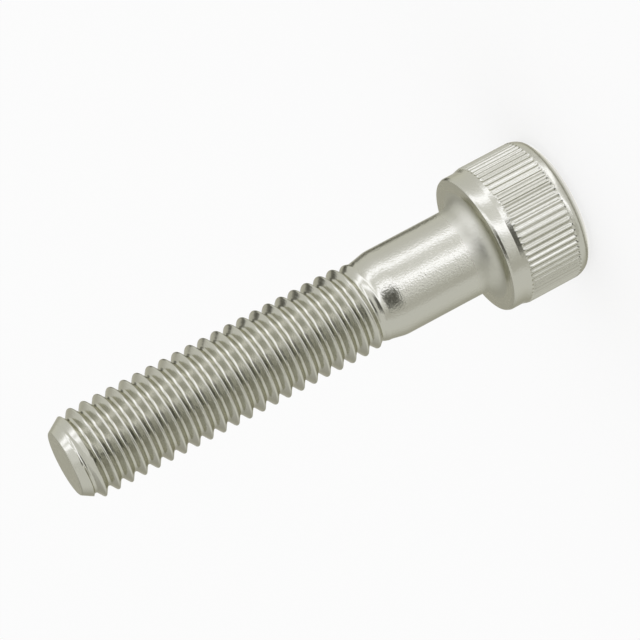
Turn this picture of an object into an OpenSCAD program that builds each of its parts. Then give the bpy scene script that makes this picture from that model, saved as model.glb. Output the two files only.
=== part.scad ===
// Hexagon socket head cap screw with a knurled head, a plain shank and a rolled thread.
// It stands on its head: z = 0 is the flat top of the head and +Z points to the tip.

/* [Thread] */
// Diameter over the thread crests
thread_d = 7.8; // [7.7:0.01:8]
// Distance from one crest to the next
pitch = 1.25; // [1.2:0.05:1.5]
// Diameter at the bottom of the thread groove
root_d = 6.6; // [6.3:0.01:6.7]
// Width of the flat along each crest
crest_w = 0.19; // [0.1:0.01:0.25]
// Length of full thread, up to the tip
thread_len = 27.3; // [15:0.1:28]
// Length over which the thread fades into the neck
runout_len = 2; // [1.5:0.1:3]
// Distance from the tip to the middle of a crest on the +X side
crest_at = 1.15; // [0:0.01:1.25]

/* [Tip] */
// Diameter of the flat end
tip_d = 5.75; // [5.4:0.05:6.2]
// Height of the chamfer, measured at the thread crests
tip_chamfer = 1.65; // [0.4:0.05:2]

/* [Shank] */
// Length from the bearing face to the tip
length = 39.65; // [36:0.05:60]
// Diameter of the plain shank
shank_d = 7.82; // [7.6:0.01:8]
// Diameter of the neck, where the blank was left for thread rolling
neck_d = 7.22; // [7:0.01:7.4]
// Length of the taper between shank and neck
neck_taper = 1.4; // [0.6:0.1:2]
// Radius of the fillet between shank and bearing face
fillet_r = 1.05; // [0.3:0.05:1.2]

/* [Head] */
// Height of the head
head_h = 7.98; // [7.6:0.01:8.4]
// Diameter of the plain band beside the bearing face
band_d = 12.46; // [12.3:0.02:12.6]
// Height of the plain band
band_h = 1.3; // [0.6:0.05:1.6]
// Height of the cone that leads from the band up to the knurl
lead_h = 0.4; // [0.2:0.05:0.8]
// Height of the narrow chamfer round the bearing face
rim_h = 0.25; // [0.2:0.05:0.5]
// How far that chamfer reaches inwards
rim_in = 0.1; // [0.05:0.01:0.2]
// Radius that rounds the edge of the head's top
top_round = 1.5; // [1:0.1:2]

/* [Knurl] */
// Diameter over the knurl ridges
knurl_d = 12.82; // [12.7:0.01:13.1]
// Depth of the grooves between the ridges
groove_depth = 0.155; // [0.1:0.005:0.25]
// Number of ridges round the head
ridges = 68; // [48:1:80]
// Width of the top of each ridge
ridge_w = 0.12; // [0.08:0.01:0.2]
// Slope of a ridge's flanks, away from the radius
ridge_slope = 45; // [35:1:50]

/* [Socket] */
// Distance across the flats of the hexagon
hex_flats = 6.04; // [5.9:0.01:6.2]
// Depth of the full hexagon
hex_depth = 4.4; // [4.1:0.05:4.8]
// Diameter of the countersink at the socket's mouth
mouth_d = 7.25; // [7.2:0.05:7.6]
// Angle of the countersink, from side to side
mouth_angle = 120; // [90:5:130]
// Angle of the cone at the socket's bottom, from side to side
point_angle = 120; // [110:5:130]
// Diameter of the small flat that ends this cone
point_d = 0.6; // [0.2:0.1:1]

/* [Hidden] */
steel = [0.72, 0.72, 0.68];
$fn = 96;
over = 1; // how far a cutting shape runs past what it cuts
root_sink = 0.3; // how far the thread's core reaches down into the neck
root_inset = 0.02; // how far that core stays inside the neck's round edge
bearing_z = head_h;
tip_z = bearing_z + length;
thread_z = tip_z - thread_len - runout_len; // where the thread starts
root_z = thread_z - root_sink;
taper_z = thread_z - neck_taper;
band_z = bearing_z - band_h;
lead_z = band_z - lead_h;
rim_z = bearing_z - rim_h;
band_r = band_d / 2;
knurl_r = knurl_d / 2;
shank_r = shank_d / 2;
neck_r = neck_d / 2;
flank_angle = 30; // half of the thread's 60 degrees
crest_r = thread_d / 2;
root_r = root_d / 2;
flank_h = (crest_r - root_r) * tan(flank_angle);
root_h = pitch - crest_w - 2 * flank_h;
tip_slope = (crest_r - tip_d / 2) / tip_chamfer;
hex_corners = hex_flats / cos(30);
sides = 40; // points round the thread
ledges = [0, crest_w, crest_w + flank_h, crest_w + flank_h + root_h];
steps = len(ledges);
turns = ceil((tip_z - root_z) / pitch) + 2;
rows = steps * (turns + 1);
start_z = tip_z - crest_at - crest_w / 2 - pitch * (turns - 1); // lowest crest on the +X side

// Half section of the head's outside, with the top's rounded edge at z = 0
module head_section() {
    difference() {
        polygon([
            [0, 0], [knurl_r, 0], [knurl_r, lead_z], [band_r, band_z],
            [band_r, rim_z], [band_r - rim_in, bearing_z], [0, bearing_z]
        ]);
        difference() {
            translate([knurl_r - top_round, 0]) square([top_round + over, top_round]);
            translate([knurl_r - top_round, top_round]) circle(r = top_round);
        }
    }
}

// Half width of a ridge where its flanks cross the circle of radius r, as an angle
function ridge_half(r) = asin((ridge_w / 2 + (knurl_r - r) * tan(ridge_slope)) / r);

// Outline of the head seen along its axis, with one ridge for each pitch of the knurl
module knurl_outline() {
    low = knurl_r - groove_depth;
    high = knurl_r + groove_depth / 8;
    polygon([for (k = [0 : ridges - 1])
        for (p = [[low, -1], [high, -1], [high, 1], [low, 1]])
            let (a = 360 * k / ridges + p[1] * ridge_half(p[0]))
                [p[0] * cos(a), p[0] * sin(a)]]);
}

// All that the knurling tool takes off, from the top down to the plain band
module knurl_cut() {
    translate([0, 0, -over]) linear_extrude(height = band_z + over) difference() {
        circle(r = knurl_r + over);
        knurl_outline();
    }
}

// Hexagon with a conical bottom and a round countersunk mouth
module socket() {
    point_h = (hex_corners - point_d) / 2 / tan(point_angle / 2);
    mouth_r = mouth_d / 2;
    mouth_h = mouth_r / tan(mouth_angle / 2);
    intersection() {
        translate([0, 0, -over]) cylinder(d = hex_corners, h = hex_depth + point_h + over, $fn = 6);
        union() {
            translate([0, 0, -over]) cylinder(d = hex_corners + over, h = hex_depth + over);
            translate([0, 0, hex_depth]) cylinder(d1 = hex_corners, d2 = point_d, h = point_h);
        }
    }
    cylinder(r1 = mouth_r, r2 = 0, h = mouth_h);
    translate([0, 0, -over]) cylinder(r = mouth_r, h = over);
}

// Plain shank with its fillet under the head and its taper down to the neck
module shank() {
    rotate_extrude() {
        polygon([
            [0, bearing_z], [shank_r, bearing_z], [shank_r, taper_z],
            [neck_r, thread_z], [0, thread_z]
        ]);
        difference() {
            translate([0, bearing_z]) square([shank_r + fillet_r, fillet_r]);
            translate([shank_r + fillet_r, bearing_z + fillet_r]) circle(r = fillet_r);
        }
    }
}

// Radius of the full thread at a height u above the lower edge of a crest
function form_r(u) =
    u < ledges[1] ? crest_r
    : u < ledges[2] ? crest_r - (u - ledges[1]) * (crest_r - root_r) / flank_h
    : u < ledges[3] ? root_r
    : root_r + (u - ledges[3]) * (crest_r - root_r) / flank_h;

// Radius of the screw at height z, where the helix has lifted the thread by lift
function thread_r(z, lift) =
    let (u = z - start_z - lift)
    let (full = form_r(u - pitch * floor(u / pitch)))
    let (depth = min(max((z - thread_z) / runout_len, 0), 1))
    let (core_r = neck_r - root_inset)
        min(core_r + (full - core_r) * depth, tip_d / 2 + (tip_z - z) * tip_slope);

// Height of a point in a row that climbs with the helix
function climb(row, side) =
    start_z + pitch * (floor(row / steps) + side / sides) + ledges[row % steps];

// Point at height z on one side of the thread
function thread_point(z, side) =
    let (r = thread_r(z, pitch * side / sides))
    let (a = 360 * side / sides)
        [r * cos(a), r * sin(a), z];

// Number of a row's point: the rings at the neck and the tip stand for all points past them
function point_number(row, side) =
    climb(row, side) <= root_z ? side
    : climb(row, side) >= tip_z ? sides + side
    : (row + 2) * sides + side;

// Right-hand thread from the neck to the chamfered tip
module thread() {
    around = [for (side = [0 : sides - 1]) side];
    points = concat(
        [for (side = around) thread_point(root_z, side)],
        [for (side = around) thread_point(tip_z, side)],
        [for (row = [0 : rows]) for (side = around) thread_point(climb(row, side), side)]);
    corners = concat(
        [for (row = [0 : rows - 1]) for (side = [0 : sides - 2])
            [[row, side], [row, side + 1], [row + 1, side + 1], [row + 1, side]]],
        [for (row = [0 : rows - 1 - steps])
            [[row, sides - 1], [row + steps, 0], [row + steps + 1, 0], [row + 1, sides - 1]]]);
    walls = [for (four = corners)
        let (n = [for (c = four) point_number(c[0], c[1])])
            for (face = [[n[0], n[2], n[1]], [n[0], n[3], n[2]]])
                if (face[0] != face[1] && face[1] != face[2] && face[2] != face[0]) face];
    low_end = around;
    high_end = [for (side = around) 2 * sides - 1 - side];
    polyhedron(points, concat(walls, [low_end, high_end]), convexity = 10);
}

module cap_screw() {
    color(steel) {
        difference() {
            rotate_extrude() head_section();
            knurl_cut();
            socket();
        }
        shank();
        thread();
    }
}

cap_screw();
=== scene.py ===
# A socket head cap screw that stands on its head in a plain white studio.
import math
import random

import bpy
import numpy as np
from mathutils import Matrix, Vector


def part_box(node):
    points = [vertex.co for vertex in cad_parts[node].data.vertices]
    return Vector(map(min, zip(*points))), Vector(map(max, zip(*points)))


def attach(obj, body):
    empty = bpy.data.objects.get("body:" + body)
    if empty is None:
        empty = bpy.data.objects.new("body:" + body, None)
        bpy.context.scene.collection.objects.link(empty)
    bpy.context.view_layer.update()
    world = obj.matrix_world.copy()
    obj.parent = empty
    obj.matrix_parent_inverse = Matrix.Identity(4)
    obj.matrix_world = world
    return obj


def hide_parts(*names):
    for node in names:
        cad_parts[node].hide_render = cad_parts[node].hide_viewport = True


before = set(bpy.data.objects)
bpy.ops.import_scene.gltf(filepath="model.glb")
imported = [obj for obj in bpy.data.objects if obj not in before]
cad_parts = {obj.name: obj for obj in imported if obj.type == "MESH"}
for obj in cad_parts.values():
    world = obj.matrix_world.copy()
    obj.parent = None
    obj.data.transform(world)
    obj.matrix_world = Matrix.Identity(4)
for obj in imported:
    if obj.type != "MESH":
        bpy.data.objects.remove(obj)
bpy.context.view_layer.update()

mm = 0.001        # shapes are worked out in millimetres, and Blender's places are in metres
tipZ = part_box("cap_screw")[1].z / mm
weldGap = 0.0005 * mm        # points nearer than this are one point


# Small helpers for modelling

def deselectAll():
    if bpy.context.object and bpy.context.object.mode != "OBJECT":
        bpy.ops.object.mode_set(mode="OBJECT")
    bpy.ops.object.select_all(action="DESELECT")


def activate(*things):
    deselectAll()
    for thing in things:
        thing.select_set(True)
    bpy.context.view_layer.objects.active = things[0]


def startEdit(piece, mode="VERT"):
    activate(piece)
    bpy.ops.object.mode_set(mode="EDIT")
    bpy.ops.mesh.select_mode(type=mode)
    bpy.ops.mesh.select_all(action="DESELECT")


def endEdit():
    bpy.ops.object.mode_set(mode="OBJECT")


def clearSelection(piece, mode="VERT"):
    # leaves nothing in the mesh selected
    startEdit(piece, mode)
    endEdit()


def weldAll(gap=weldGap):
    bpy.ops.mesh.select_all(action="SELECT")
    bpy.ops.mesh.remove_doubles(threshold=gap)


def drawProfile(name, points):
    # a chain of edges in the XZ plane, drawn by extruding one vertex
    deselectAll()
    bpy.ops.mesh.primitive_plane_add(size=mm, location=(0, 0, 0))
    profile = bpy.context.object
    profile.name = name
    bpy.ops.object.mode_set(mode="EDIT")
    bpy.ops.mesh.select_mode(type="VERT")
    bpy.ops.mesh.select_all(action="SELECT")
    bpy.ops.mesh.merge(type="CENTER")
    last = Vector((0, 0, 0))
    for number, (radius, height) in enumerate(points):
        place = Vector((radius * mm, 0, height * mm))
        if number == 0:
            bpy.ops.transform.translate(value=place - last)
        else:
            bpy.ops.mesh.extrude_vertices_move(TRANSFORM_OT_translate={"value": place - last})
        last = place
    endEdit()
    return profile


def spinProfile(profile, columns):
    startEdit(profile)
    bpy.ops.mesh.select_all(action="SELECT")
    bpy.ops.mesh.spin(steps=columns, angle=2 * math.pi, center=(0, 0, 0), axis=(0, 0, 1))
    weldAll()
    endEdit()


def readPlaces(piece):
    # radius, angle and height of every point
    places = np.empty(len(piece.data.vertices) * 3)
    piece.data.vertices.foreach_get("co", places)
    places = places.reshape(-1, 3) / mm
    return np.hypot(places[:, 0], places[:, 1]), np.arctan2(places[:, 1], places[:, 0]), places[:, 2]


def writePlaces(piece, radius, angle, height):
    places = np.stack((radius * np.cos(angle), radius * np.sin(angle), height), axis=1) * mm
    piece.data.vertices.foreach_set("co", places.ravel())
    piece.data.update()


def arcPoints(centre, radius, first, last, count):
    # points on a circle in the profile, angles in degrees from the outward direction
    points = []
    for number in range(count):
        turn = math.radians(first + (last - first) * number / (count - 1))
        points.append((centre[0] + radius * math.cos(turn), centre[1] + radius * math.sin(turn)))
    return points


def roundedCorner(before, corner, after, radius, count):
    # the corner of a profile, replaced by an arc of count points
    before, corner, after = Vector(before), Vector(corner), Vector(after)
    inward = (before - corner).normalized()
    outward = (after - corner).normalized()
    half = inward.angle(outward) / 2
    middle = corner + (inward + outward).normalized() * radius / math.sin(half)
    start = corner + inward * radius / math.tan(half) - middle
    sweep = start.angle_signed(corner + outward * radius / math.tan(half) - middle)
    points = []
    for number in range(count):
        turn = -sweep * number / (count - 1)
        arm = Vector((start.x * math.cos(turn) - start.y * math.sin(turn),
                      start.x * math.sin(turn) + start.y * math.cos(turn)))
        points.append(tuple(middle + arm))
    return points


# Small helpers for materials

def newMaterial(name):
    material = bpy.data.materials.new(name)
    material.use_nodes = True
    return material, material.node_tree.nodes, material.node_tree.links


def mapRange(nodes, links, source, first, last, low=0, high=1):
    share = nodes.new("ShaderNodeMapRange")
    share.interpolation_type = "SMOOTHSTEP"
    share.inputs["From Min"].default_value = first
    share.inputs["From Max"].default_value = last
    share.inputs["To Min"].default_value = low
    share.inputs["To Max"].default_value = high
    links.new(source, share.inputs["Value"])
    return share.outputs["Result"]


def calculate(nodes, links, operation, *values):
    step = nodes.new("ShaderNodeMath")
    step.operation = operation
    for number, value in enumerate(values):
        if isinstance(value, (int, float)):
            step.inputs[number].default_value = value
        else:
            links.new(value, step.inputs[number])
    return step.outputs["Value"]


def moveVector(nodes, links, operation, source, value=None):
    step = nodes.new("ShaderNodeVectorMath")
    step.operation = operation
    links.new(source, step.inputs[0])
    if isinstance(value, tuple):
        step.inputs[1].default_value = value
    elif value is not None:
        links.new(value, step.inputs[1])
    return step.outputs["Value" if operation == "LENGTH" else "Vector"]


def addGlow(nodes, values):
    light = nodes.new("ShaderNodeEmission")
    light.inputs["Color"].default_value = values["tint"] + (1,)
    light.inputs["Strength"].default_value = values["glow"]
    return light.outputs["Emission"]


def addBump(nodes, links, source, height, before=None):
    bump = nodes.new("ShaderNodeBump")
    bump.inputs["Distance"].default_value = height * mm
    bump.inputs["Strength"].default_value = 1.0
    links.new(source, bump.inputs["Height"])
    if before is not None:
        links.new(before, bump.inputs["Normal"])
    return bump.outputs["Normal"]


# The camera looks from the photograph's angle, with the tip towards the lower left

cameraValues = {"tilt": 14.43, "roll": 28.05, "distance": 276.8, "lens": 186.95, "sensor": 36.0,
                "aimZ": 23.85, "right": 0.484, "up": 0.929}


def addCamera():
    values = cameraValues
    tilt = math.radians(values["tilt"])
    roll = math.radians(values["roll"])
    side = Vector((1, 0, 0))
    along = Vector((0, math.sin(tilt), math.cos(tilt)))
    back = Vector((0, -math.cos(tilt), math.sin(tilt)))
    right = -math.sin(roll) * side - math.cos(roll) * along
    up = math.cos(roll) * side - math.sin(roll) * along
    place = Vector((0, 0, values["aimZ"])) + values["right"] * right + values["up"] * up
    place += values["distance"] * back
    bpy.ops.object.camera_add()
    camera = bpy.context.object
    camera.name = "photoCamera"
    camera.data.lens = values["lens"]
    camera.data.sensor_width = values["sensor"]
    turn = Matrix((right, up, back)).transposed().to_4x4()
    camera.matrix_world = Matrix.Translation(place * mm) @ turn
    bpy.context.scene.camera = camera


addCamera()
print("camera placed")


# The studio: a white floor and surround, and feathered walls, strips and cards that stand round the
# screw and show only in its polished steel

studioValues = {"floorColour": (0.97, 0.97, 0.97, 1), "floorGlow": 0.7, "floorRadius": 3.0,
                "surround": 1.0, "roundSteps": 96, "panelSteps": 48}

# azimuths in degrees from the front (-Y) towards -X, elevations in degrees seen from the screw's
# middle, distances in metres; "feather" is the degrees over which the left, the right, and the
# upper and lower edges fade; "lean" is the azimuth that a panel gains for each degree of elevation
# above leanFrom; a nearer panel hides those behind it
leanFrom = math.radians(-17)
panelValues = {
    "backWall": {"azimuth": (140, 225), "elevation": (-50, 60), "glow": 0.7, "tint": (1, 0.99, 0.98),
                 "feather": (20, 20, 6), "lean": 0, "distance": 1.0},
    "rightWall": {"azimuth": (104, 176), "elevation": (-50, 60), "glow": 0.56, "tint": (1, 0.99, 0.97),
                  "feather": (56, 16, 6), "lean": 0, "distance": 0.98},
    "frontWall": {"azimuth": (-100, 36), "elevation": (-50, 60), "glow": 1.2, "tint": (1, 1, 1.03),
                  "feather": (26, 12, 6), "lean": -0.15, "distance": 0.96},
    "greyCard": {"azimuth": (28, 71), "elevation": (-50, 20), "glow": 0.77, "tint": (1, 0.99, 0.95),
                 "feather": (28, 6, 10), "lean": 0, "distance": 0.94},
    "sideStrip": {"azimuth": (-76, -45), "elevation": (-50, 60), "glow": 2.2, "tint": (1, 1, 1.12),
                  "feather": (14, 13, 6), "lean": -0.24, "distance": 0.92},
    "frontStrip": {"azimuth": (-22, 12), "elevation": (-50, 60), "glow": 2.2, "tint": (1, 1, 1.12),
                   "feather": (13, 14, 6), "lean": -0.55, "distance": 0.9},
    "lowGlow": {"azimuth": (-62, 4), "elevation": (-58, -23), "glow": 2.1, "tint": (1, 1, 1.1),
                "feather": (26, 26, 9), "lean": 0.5, "distance": 0.89},
    "darkCard": {"azimuth": (-17, 54), "elevation": (-12, 44), "glow": 0.15, "tint": (1, 0.98, 0.9),
                 "feather": (24, 22, 16), "lean": 0, "distance": 0.88},
}
# painted shade: a narrow dark sheet close behind the screw, seen only in the steel, standing in for a
# shadow beside the shank; its heights are in millimetres
shadowFlagValues = {"azimuth": (-148, -124), "heights": (1.5, 45), "glow": 0.16, "tint": (1, 0.98, 0.9),
              "feather": (8, 8, 3), "lean": 0, "distance": 0.0264}
underCards = {        # radii and depth below the floor in millimetres
    "brightCard": {"radii": (0.5, 5.9), "depth": 0.3, "glow": 1.5, "tint": (1, 1, 1.14)},
    "shadeRing": {"radii": (6.3, 6.7), "depth": 0.3, "glow": 0.5, "tint": (1, 0.98, 0.9)},
}


def showMirrored(card):
    # only mirrored light sees the card, and it is no part of the screw
    card.visible_camera = False
    card.visible_transmission = False
    card.visible_shadow = False
    card.visible_diffuse = False


def panelMaterial(name, values, span, halfHeight, lift):
    # glows evenly and turns clear towards its edges
    first, last = (math.radians(turn) for turn in values["azimuth"])
    left, right, ends = (math.radians(turn) for turn in values["feather"])
    distance, lean, half = values["distance"], values["lean"], (last - first) / 2
    material, nodes, links = newMaterial(name)
    nodes.clear()
    place = nodes.new("ShaderNodeTexCoord")
    split = nodes.new("ShaderNodeSeparateXYZ")
    links.new(place.outputs["Object"], split.inputs["Vector"])
    turn = calculate(nodes, links, "ARCTAN2", split.outputs["Y"], split.outputs["X"])
    shift = calculate(nodes, links, "MULTIPLY_ADD", split.outputs["Z"], lean / distance,
                      lean * (lift / distance - math.tan(leanFrom)) - span / 2)
    turn = calculate(nodes, links, "ADD", turn, shift)
    level = calculate(nodes, links, "ABSOLUTE", split.outputs["Z"])
    cover = calculate(nodes, links, "MULTIPLY", mapRange(nodes, links, turn, half, half - left),
                      mapRange(nodes, links, turn, -half, right - half))
    cover = calculate(nodes, links, "MULTIPLY", cover,
                      mapRange(nodes, links, level, halfHeight, halfHeight - ends * distance))
    clear = nodes.new("ShaderNodeBsdfTransparent")
    mix = nodes.new("ShaderNodeMixShader")
    out = nodes.new("ShaderNodeOutputMaterial")
    links.new(cover, mix.inputs["Fac"])
    links.new(clear.outputs["BSDF"], mix.inputs[1])
    links.new(addGlow(nodes, values), mix.inputs[2])
    links.new(mix.outputs["Shader"], out.inputs["Surface"])
    return material


def addPanel(name, values, low, high):
    # an upright wall, bent round the screw, from height low to height high in metres
    distance = values["distance"]
    half = (high - low) / 2
    lift = (high + low) / 2 - tipZ * mm / 2
    first, last = (math.radians(turn) for turn in values["azimuth"])
    reach = abs(values["lean"]) * (half / distance + abs(lift / distance - math.tan(leanFrom)))
    span = last - first + 2 * reach
    panel = drawProfile(name, [(distance / mm, -half / mm), (distance / mm, half / mm)])
    startEdit(panel)
    bpy.ops.mesh.select_all(action="SELECT")
    bpy.ops.mesh.spin(steps=studioValues["panelSteps"], angle=-span, center=(0, 0, 0), axis=(0, 0, 1))
    endEdit()
    turned = math.radians(270) - (first + last) / 2 - span / 2
    panel.matrix_world = Matrix.Translation((0, 0, (high + low) / 2)) @ Matrix.Rotation(turned, 4, "Z")
    panel.data.materials.append(panelMaterial(name, values, span, half, lift))
    showMirrored(panel)


def addPanels():
    middle = tipZ * mm / 2
    for name, values in panelValues.items():
        low, high = (values["distance"] * math.tan(math.radians(turn)) for turn in values["elevation"])
        addPanel(name, values, middle + low, middle + high)
    # painted shade: the dark sheet behind the shank, mirrored as a shadow along its edge
    low, high = shadowFlagValues["heights"]
    addPanel("backShadowFlag", shadowFlagValues, low * mm, high * mm)


def addUnderCard(name, values):
    # a flat ring just below the floor, for the head's rounded edge
    inner, outer = values["radii"]
    card = drawProfile(name, [(inner, -values["depth"]), (outer, -values["depth"])])
    spinProfile(card, studioValues["roundSteps"])
    material, nodes, links = newMaterial(name)
    nodes.clear()
    out = nodes.new("ShaderNodeOutputMaterial")
    links.new(addGlow(nodes, values), out.inputs["Surface"])
    card.data.materials.append(material)
    showMirrored(card)


def addFloor():
    values = studioValues
    deselectAll()
    bpy.ops.mesh.primitive_circle_add(vertices=values["roundSteps"], radius=values["floorRadius"],
                                      fill_type="NGON")
    floor = bpy.context.object
    floor.name = "studioFloor"
    material, nodes, links = newMaterial("whiteFloor")
    paint = nodes["Principled BSDF"]
    paint.inputs["Roughness"].default_value = 1.0
    paint.inputs["Specular IOR Level"].default_value = 0.0
    white, share = values["floorColour"], values["floorGlow"]        # the glow keeps the shadow faint
    paint.inputs["Base Color"].default_value = tuple(part * (1 - share) for part in white[:3]) + (1,)
    paint.inputs["Emission Color"].default_value = white
    paint.inputs["Emission Strength"].default_value = share
    floor.data.materials.append(material)
    floor.visible_glossy = False        # the polished steel mirrors the strips below floor level too
    floor.visible_shadow = False


def addSurround():
    world = bpy.data.worlds.new("whiteSurround")
    world.use_nodes = True
    shade = world.node_tree.nodes["Background"]
    shade.inputs["Color"].default_value = (1, 1, 1, 1)
    shade.inputs["Strength"].default_value = studioValues["surround"]
    bpy.context.scene.world = world


addFloor()
addSurround()
for cardName, cardValues in underCards.items():
    addUnderCard(cardName, cardValues)
addPanels()
bpy.context.scene.view_settings.view_transform = "Standard"
print("studio built")


# The head: a half section spun round the axis, then pressed into hexagon and knurl

# lengths in millimetres, angles in degrees; "rim" is a chamfer with soft edges, as points in from the
# band and down from the bearing face; "seam" is half the gap that is bridged to the shank;
# "topTurns" are the rows round the edge of the flat top
headValues = {
    "height": 7.98, "bandRadius": 6.23, "bandZ": 6.68, "bandRounding": 0.25, "bandRows": 4,
    "bandMiddle": 7.1, "rim": ((0, 0.28), (0.008, 0.22), (0.088, 0.045), (0.112, 0.012), (0.15, 0)),
    "faceRadius": 5.0, "faceMiddle": 5.5, "seam": 0.02,
    "topRound": 1.5, "topTurns": (0, 8, 16, 25, 34, 43, 52, 60, 66, 71, 76, 80, 83.5, 87, 90),
    "hexFlats": 6.04, "hexDepth": 4.4, "wallTop": 0.3,
    "mouthRadius": 3.625, "mouthSoft": 0.03, "coneSlope": math.tan(math.radians(60)),
    "pointRadius": 0.3, "pointRows": (1.1, 1.9, 2.6),
}
# "section" is half a ridge, as degrees from its middle and share of the depth; the fades are the
# heights at which a groove starts and is at its full depth; the nose is the knurl's end by the band
knurlValues = {
    "ridges": 68, "radius": 6.41, "depth": 0.155, "seed": 7, "unevenHeight": 0.02, "unevenPlace": 0.08,
    "section": ((0, 1), (0.5, 0.94), (1.2, 0.5), (1.85, 0.08), (2.25, 0)),
    "rows": (1.56, 1.68, 3.2, 4.7, 6.0), "followTurn": 45, "topFade": (1.4, 1.56),
    "noseFade": (6.34, 6.08), "noseRadius": 6.33, "noseRounding": 0.6, "noseRows": 5,
    "noseLip": (0.016, 0.04),
}
ridgeColumns = 2 * len(knurlValues["section"]) - 1
headColumns = knurlValues["ridges"] * ridgeColumns


def smoothShare(values, span):
    # 0 before the span, 1 after it, and a soft step between
    share = np.clip((values - span[0]) / (span[1] - span[0]), 0, 1)
    return share * share * (3 - 2 * share)


def pointHeight(radius):
    # height of the cone that ends the socket
    corner = headValues["hexFlats"] / 2 / math.cos(math.pi / 6)
    return headValues["hexDepth"] + (corner - radius) / headValues["coneSlope"]


def socketRows():
    values = headValues
    flat, depth = values["hexFlats"] / 2, values["hexDepth"]
    mouth, soft = values["mouthRadius"], values["mouthSoft"]
    rows = [(0, pointHeight(values["pointRadius"]), "plain", 0)]
    for radius in (values["pointRadius"],) + values["pointRows"]:
        rows.append((radius, pointHeight(radius), "plain", 0))
    rows += [(flat, depth, "wallBottom", 0), (flat, depth / 2, "wall", 0)]
    rows.append((flat, values["wallTop"], "wallTop", 0))
    return rows + [(mouth - soft, soft / values["coneSlope"], "plain", 0), (mouth + soft, 0, "plain", 0)]


def headRows():
    # radius, height, what the row is for, and how far its columns follow the knurl
    values, knurl = headValues, knurlValues
    outer, band, base = knurl["radius"], values["bandRadius"], values["height"]
    bend = values["topRound"]
    top = outer - bend
    rows = socketRows() + [((values["mouthRadius"] + top) / 2, 0, "plain", 0)]
    for turn in values["topTurns"]:
        angle = math.radians(turn)
        follow = min(turn / knurl["followTurn"], 1)
        rows.append((top + bend * math.sin(angle), bend * (1 - math.cos(angle)), "knurl", follow))
    rows += [(outer, height, "knurl", 1) for height in knurl["rows"]]
    noseZ, noseStart = knurl["noseFade"]
    nose = (knurl["noseRadius"], noseZ)
    arc = roundedCorner((outer, 0), (outer, noseStart), nose, knurl["noseRounding"], knurl["noseRows"])
    arc += [(nose[0] + knurl["noseLip"][0], noseZ - knurl["noseLip"][1]), nose]
    rows += [(radius, height, "knurl", 1) for radius, height in arc]
    middle = (band, values["bandMiddle"])
    arc = roundedCorner(nose, (band, values["bandZ"]), middle, values["bandRounding"], values["bandRows"])
    rows += [(radius, height, "plain", 1) for radius, height in arc]
    rows.append(middle + ("plain", 0.5))
    rows += [(band - inward, base - down, "plain", 0) for inward, down in values["rim"]]
    rows += [(radius, base, "plain", 0) for radius in
             (values["faceMiddle"], values["faceRadius"] + values["seam"])]
    return rows


def pressSocket(kinds, turned, radius, height):
    # puts the wall's rows on the hexagon, and their ends on the mouth's cone and the point's
    away = np.radians((np.degrees(turned) + 30) % 60 - 30)        # from the nearest corner
    wall = headValues["hexFlats"] / 2 / np.cos(math.pi / 6 - np.abs(away))
    radius = np.where(np.isin(kinds, ("wall", "wallTop", "wallBottom")), wall, radius)
    mouthZ = (headValues["mouthRadius"] - wall) / headValues["coneSlope"]
    height = np.where(kinds == "wallTop", mouthZ, height)
    height = np.where(kinds == "wallBottom", pointHeight(wall), height)
    return radius, height


def pressKnurl(kinds, follow, column, radius, height):
    # gives each ridge its columns, at slightly uneven places and heights
    knurl = knurlValues
    depth, ridges = knurl["depth"], range(knurl["ridges"])
    spots, lifts = np.array(knurl["section"]).T
    spots = np.concatenate((spots, -spots[:0:-1]))
    lifts = np.concatenate((lifts, lifts[:0:-1])) * depth
    random.seed(knurl["seed"])
    rises = np.array([1 - random.random() * knurl["unevenHeight"] / depth for ridge in ridges])
    places = np.array([(random.random() * 2 - 1) * knurl["unevenPlace"] for ridge in ridges])
    ridge = ((column + ridgeColumns // 2) // ridgeColumns) % knurl["ridges"]
    spot = column % ridgeColumns
    even = column * 2 * math.pi / headColumns
    knurled = np.radians(ridge * 360 / knurl["ridges"] + spots[spot] + places[ridge])
    turn = (knurled - even + math.pi) % (2 * math.pi) - math.pi
    sunk = depth - lifts[spot] * rises[ridge]
    sunk = sunk * smoothShare(height, knurl["topFade"]) * smoothShare(height, knurl["noseFade"])
    nearBand = height > headValues["height"] / 2
    pressed = np.where(nearBand, radius - sunk, np.minimum(radius, knurl["radius"] - sunk))
    return np.where(kinds == "knurl", pressed, radius), even + turn * follow


def pressHead(head, rows):
    radius, angle, height = readPlaces(head)
    sections = np.array([row[:2] for row in rows])
    gaps = (radius[:, None] - sections[:, 0]) ** 2 + (height[:, None] - sections[:, 1]) ** 2
    rowOf = gaps.argmin(axis=1)
    kinds = np.array([row[2] for row in rows])[rowOf]
    follow = np.array([row[3] for row in rows])[rowOf]
    step = 2 * math.pi / headColumns
    column = np.round(angle / step).astype(int) % headColumns
    radius, height = pressSocket(kinds, column * step, radius, height)
    radius, angle = pressKnurl(kinds, follow, column, radius, height)
    writePlaces(head, radius, angle, height)


rows = headRows()
head = drawProfile("head", [row[:2] for row in rows])
spinProfile(head, headColumns)
pressHead(head, rows)
print("head spun and pressed:", len(head.data.polygons), "faces")


# The shank: fillet, plain length and the softly drawn neck

shankValues = {"columns": 153, "radius": 3.91, "fillet": 1.05, "filletHeight": 1.3, "filletRows": 13,
               "plainRows": (0.2, 0.4, 0.6, 0.8), "taperZ": 16.93, "neckZ": 18.33, "neckRadius": 3.61,
               "soften": 0.38, "taperRows": 16}


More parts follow.
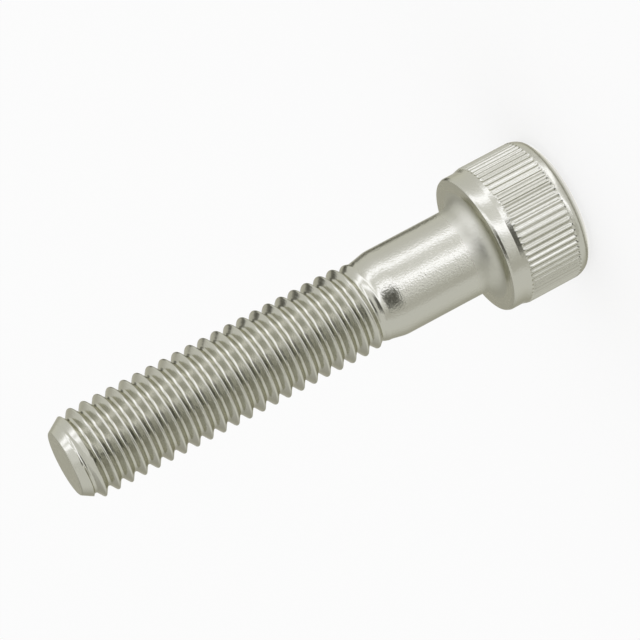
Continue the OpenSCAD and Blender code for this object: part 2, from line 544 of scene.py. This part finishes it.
def shankSection():
    values = shankValues
    base = headValues["height"]
    across, tall = values["fillet"], values["filletHeight"]
    arc = arcPoints((values["radius"] + across, across), across, 270, 180, values["filletRows"])
    points = [(headValues["faceRadius"] - headValues["seam"], base)]
    points += [(radius, base + height * tall / across) for radius, height in arc]
    filletEnd = base + tall
    first, last = values["taperZ"] - values["soften"], values["neckZ"]
    for share in values["plainRows"]:
        points.append((values["radius"], filletEnd + (first - filletEnd) * share))
    for number in range(values["taperRows"] + 1):
        height = first + (last - first) * number / values["taperRows"]
        points.append((float(neckRadiusAt(height)), height))
    return points


def rampArea(share):
    # the area under a ramp that rises from 0 to 1 and stays there
    return np.clip(share, 0, 1) ** 2 / 2 + np.maximum(share - 1, 0)


def neckRadiusAt(height):
    # the straight taper of the source, averaged over a short length so that both its bends are round
    values = shankValues
    taper = values["neckZ"] - values["taperZ"]
    share = (height - values["taperZ"]) / taper
    reach = values["soften"] / taper
    fallen = (rampArea(share + reach) - rampArea(share - reach)) / (2 * reach)
    return values["radius"] + (values["neckRadius"] - values["radius"]) * fallen


shank = drawProfile("shank", shankSection())
spinProfile(shank, shankValues["columns"])
print("shank spun:", len(shank.data.polygons), "faces")


# The rolled thread: one turn of its profile, screwed up the axis and then shaped at both ends

# "crestAt" is the last crest's depth below the tip on the +X side; "tipRing" is the depth of the ring
# in which the thread ends, and points beyond an end, or nearer to it than "snap", move onto it;
# "tipReach" is how far below the chamfer the flanks get "tipCuts" extra rows, and a flank's edges
# rise by more than "flankEdge"
threadValues = {
    "pitch": 1.25, "crestRadius": 3.9, "crestRounding": 0.125, "crestPoints": 4,
    "rootRadius": 3.26, "rootRounding": 0.22, "rootPoints": 8, "crestAt": 1.15,
    "runout": 2.0, "rootRunout": 1.3, "tipRadius": 2.875, "tipChamfer": 1.65, "tipRing": 0.12,
    "tipCuts": 5, "tipReach": 0.3, "flankEdge": 0.3, "snap": 0.03,
}


def threadSection():
    # half a crest, a flank, the round root, the other flank and the next half crest
    values = threadValues
    crestRounding, rootRounding = values["crestRounding"], values["rootRounding"]
    both, half = crestRounding + rootRounding, values["pitch"] / 2
    drop = values["crestRadius"] - values["rootRadius"] - both
    turn = math.degrees(math.atan2(drop, half) + math.asin(both / math.hypot(drop, half)))
    crest = values["crestRadius"] - crestRounding
    root = (values["rootRadius"] + rootRounding, half)
    return (arcPoints((crest, 0), crestRounding, 0, turn, values["crestPoints"])
            + arcPoints(root, rootRounding, 180 + turn, 180 - turn, values["rootPoints"])
            + arcPoints((crest, 2 * half), crestRounding, -turn, 0, values["crestPoints"]))


def screwThread(profile, lowestZ):
    activate(profile)
    screw = profile.modifiers.new("threadScrew", "SCREW")
    screw.axis = "Z"
    screw.angle = 2 * math.pi
    screw.steps = shankValues["columns"]
    screw.render_steps = shankValues["columns"]
    screw.screw_offset = threadValues["pitch"] * mm
    screw.iterations = math.ceil((tipZ - lowestZ) / threadValues["pitch"])
    bpy.ops.object.modifier_apply(modifier=screw.name)
    startEdit(profile)
    weldAll()
    endEdit()


def refineTip(thread):
    # extra rows on the flanks, so that the chamfer cuts them cleanly
    radius, angle, height = readPlaces(thread)
    lowest = tipZ - threadValues["tipChamfer"] - threadValues["tipReach"]
    clearSelection(thread, "EDGE")
    for edge in thread.data.edges:
        first, last = edge.vertices
        onFlank = abs(radius[first] - radius[last]) > threadValues["flankEdge"]
        edge.select = bool(onFlank and min(height[first], height[last]) > lowest)
    bpy.ops.object.mode_set(mode="EDIT")
    bpy.ops.mesh.subdivide(number_cuts=threadValues["tipCuts"])
    endEdit()


def shapeThread(thread):
    # flattens both ends, runs the thread out into the neck and cuts the tip's chamfer
    values = threadValues
    radius, angle, height = readPlaces(thread)
    start = shankValues["neckZ"] + values["snap"]
    slope = (values["crestRadius"] - values["tipRadius"]) / values["tipChamfer"]
    ringZ = tipZ - values["tipRing"]
    grown = np.clip((height - start) / values["runout"], 0, 1)
    height = np.where(height < start, shankValues["neckZ"], height)
    height = np.where(height > ringZ - values["snap"], ringZ, height)
    sunk = np.clip((height - start) / values["rootRunout"], 0, 1)
    core = neckRadiusAt(height)
    radius = core + (radius - core) * np.where(radius > core, grown, sunk)
    radius = np.minimum(radius, values["tipRadius"] + (tipZ - height) * slope)
    writePlaces(thread, radius, angle, height)
    startEdit(thread)
    weldAll()
    bpy.ops.mesh.dissolve_degenerate(threshold=weldGap)
    endEdit()


section = threadSection()
topCrest = tipZ - threadValues["crestAt"]
turnsDown = math.ceil((topCrest - shankValues["neckZ"]) / threadValues["pitch"] + 1)
lowestCrest = topCrest - threadValues["pitch"] * turnsDown
section = [(radius, height - section[0][1] + lowestCrest) for radius, height in section]
thread = drawProfile("thread", section)
screwThread(thread, lowestCrest)
refineTip(thread)
shapeThread(thread)
print("thread screwed:", len(thread.data.polygons), "faces")


# Join the three, close the tip and weld the rings

# the tip's soft edge and then its flat face, as radius and depth below the tip
tipRings = [(2.929, 0.085), (2.897, 0.05), (2.85, 0.023), (2.785, 0.006), (2.7, 0), (2.2, 0), (1.1, 0),
            (0.35, 0)]
ringWeld = 0.002 * mm        # the shank's last ring and the thread's first one meet within this


def selectRing(piece, test):
    radius, angle, height = readPlaces(piece)
    for vertex in piece.data.vertices:
        vertex.select = bool(test(radius[vertex.index], height[vertex.index]))


def closeTip(piece):
    values = threadValues
    ringZ = tipZ - values["tipRing"]
    slope = (values["crestRadius"] - values["tipRadius"]) / values["tipChamfer"]
    radius = values["tipRadius"] + values["tipRing"] * slope
    clearSelection(piece)
    selectRing(piece, lambda near, height: abs(height - ringZ) * mm < weldGap)
    bpy.ops.object.mode_set(mode="EDIT")
    for nextRadius, drop in tipRings:
        bpy.ops.mesh.extrude_edges_move()
        share = nextRadius / radius
        bpy.ops.transform.resize(value=(share, share, 1), center_override=(0, 0, 0))
        bpy.ops.transform.translate(value=(0, 0, (tipZ - drop - ringZ) * mm))
        radius, ringZ = nextRadius, tipZ - drop
    bpy.ops.mesh.extrude_edges_move()
    bpy.ops.mesh.merge(type="CENTER")
    endEdit()


def joinScrew():
    activate(head, shank, thread)
    bpy.ops.object.join()
    startEdit(head)
    weldAll(ringWeld)
    bpy.ops.mesh.select_all(action="DESELECT")
    endEdit()
    base, face, reach = headValues["height"], headValues["faceRadius"], 1.5 * headValues["seam"]
    selectRing(head, lambda near, height: abs(height - base) * mm < weldGap and abs(near - face) < reach)
    bpy.ops.object.mode_set(mode="EDIT")
    bpy.ops.mesh.select_mode(type="EDGE")
    bpy.ops.mesh.bridge_edge_loops()
    endEdit()
    return head


screw = joinScrew()
closeTip(screw)
startEdit(screw)
bpy.ops.mesh.select_all(action="SELECT")
bpy.ops.mesh.normals_make_consistent(inside=False)
endEdit()
screw.name = "capScrew"
screw.data.name = "capScrew"
print("screw joined:", len(screw.data.polygons), "faces")


# Steel finishes: "grain" is a fine mottle, as size and height in millimetres; "streak" follows the
# screw's turn, as waves round it, size along it, size outwards and height in millimetres

steelColour = (0.47, 0.467, 0.402)
machinedColour = (0.45, 0.445, 0.38)
edgeTint = (0.86, 0.85, 0.74, 1)
finishValues = {
    "rolledSteel": {"colour": steelColour, "rough": 0.17, "grain": (0.3, 0.006),
                    "streak": (3, 0.09, 9, 0.007)},
    "drawnSteel": {"colour": steelColour, "rough": 0.12, "grain": (0.16, 0.023),
                   "streak": (9, 0.9, 9, 0.014), "filletRough": 0.34, "filletFade": (10.6, 9.1)},
    "turnedSteel": {"colour": machinedColour, "rough": 0.3, "grain": (0.3, 0.003),
                    "streak": (2, 9, 0.16, 0.008)},
    "knurledSteel": {"colour": steelColour, "rough": 0.16, "grain": (0.15, 0.012),
                     "streak": (3, 0.5, 9, 0.006)},
    "cutSteel": {"colour": machinedColour, "rough": 0.34, "grain": (0.4, 0.014),
                 "streak": (2, 9, 0.3, 0.008)},
    "broachedSteel": {"colour": (0.43, 0.42, 0.37), "rough": 0.28, "grain": (0.3, 0.004),
                      "streak": (2, 0.3, 9, 0.01)},
}
streakSpan = (0.2, 0.8)        # this span of the streaks' noise changes the roughness
roughSpread = (0.75, 1.3)        # between these shares of "rough"
smoothValues = {"angle": 32, "weight": 60}

# "flatUp" is how far up the tip's flat face looks at least, and the others are how far the finishes
# of the tip and of the bearing face reach, in millimetres
finishEdges = {"flatUp": 0.95, "tipDepth": 0.05, "faceAbove": 0.001, "faceBelow": 0.02}


def addGrain(nodes, links, place, size):
    grain = nodes.new("ShaderNodeTexNoise")
    grain.inputs["Scale"].default_value = 1 / (size * mm)
    grain.inputs["Detail"].default_value = 3
    links.new(place, grain.inputs["Vector"])
    return grain.outputs["Fac"]


def addStreak(nodes, links, place, waves, along, outwards):
    # noise over the direction round the axis, the height and, as its fourth measure, the radius
    flat = moveVector(nodes, links, "MULTIPLY", place, (1, 1, 0))
    facing = moveVector(nodes, links, "NORMALIZE", flat)
    turn = moveVector(nodes, links, "MULTIPLY", facing, (waves, waves, 0))
    rise = moveVector(nodes, links, "MULTIPLY", place, (0, 0, 1 / (along * mm)))
    streak = nodes.new("ShaderNodeTexNoise")
    streak.noise_dimensions = "4D"
    streak.inputs["Scale"].default_value = 1
    streak.inputs["Detail"].default_value = 2
    links.new(moveVector(nodes, links, "ADD", turn, rise), streak.inputs["Vector"])
    reach = moveVector(nodes, links, "LENGTH", flat)
    links.new(calculate(nodes, links, "MULTIPLY", reach, 1 / (outwards * mm)), streak.inputs["W"])
    return streak.outputs["Fac"]


def addSteel(name, values):
    material, nodes, links = newMaterial(name)
    steel = nodes["Principled BSDF"]
    steel.inputs["Metallic"].default_value = 1.0
    steel.inputs["Base Color"].default_value = values["colour"] + (1,)
    steel.inputs["Specular Tint"].default_value = edgeTint
    place = nodes.new("ShaderNodeTexCoord").outputs["Object"]
    grainSize, grainHeight = values["grain"]
    waves, along, outwards, streakHeight = values["streak"]
    grain = addGrain(nodes, links, place, grainSize)
    streak = addStreak(nodes, links, place, waves, along, outwards)
    normal = addBump(nodes, links, grain, grainHeight)
    normal = addBump(nodes, links, streak, streakHeight, normal)
    links.new(normal, steel.inputs["Normal"])
    low, high = (values["rough"] * share for share in roughSpread)
    rough = mapRange(nodes, links, streak, streakSpan[0], streakSpan[1], low, high)
    if "filletRough" in values:        # the fillet is duller than the plain shank above it
        first, last = (height * mm for height in values["filletFade"])
        upright = nodes.new("ShaderNodeSeparateXYZ")
        links.new(place, upright.inputs["Vector"])
        dull = mapRange(nodes, links, upright.outputs["Z"], first, last, 0, values["filletRough"])
        rough = calculate(nodes, links, "ADD", rough, dull)
    links.new(rough, steel.inputs["Roughness"])
    return material


def finishOf(radius, height, up):
    # the finish of a face, from where its middle lies and how far it looks up
    base, edges = headValues["height"], finishEdges
    if up > edges["flatUp"] and height > tipZ - edges["tipDepth"]:
        return "cutSteel"
    if height > shankValues["neckZ"]:
        return "rolledSteel"
    if height > base + edges["faceAbove"]:
        return "drawnSteel"
    if height > base - edges["faceBelow"]:
        return "turnedSteel"
    if radius < headValues["mouthRadius"]:
        return "broachedSteel"
    return "knurledSteel"


def finishScrew(screw):
    names = list(finishValues)
    for name in names:
        screw.data.materials.append(addSteel(name, finishValues[name]))
    for face in screw.data.polygons:
        middle = face.center / mm
        finish = finishOf(math.hypot(middle.x, middle.y), middle.z, face.normal.z)
        face.material_index = names.index(finish)
    activate(screw)
    bpy.ops.object.shade_smooth_by_angle(angle=math.radians(smoothValues["angle"]))
    weighted = screw.modifiers.new("evenNormals", "WEIGHTED_NORMAL")
    weighted.keep_sharp = True
    weighted.weight = smoothValues["weight"]
    bpy.ops.object.modifier_apply(modifier=weighted.name)


finishScrew(screw)
print("finishes set")

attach(screw, "root")
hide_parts("cap_screw")
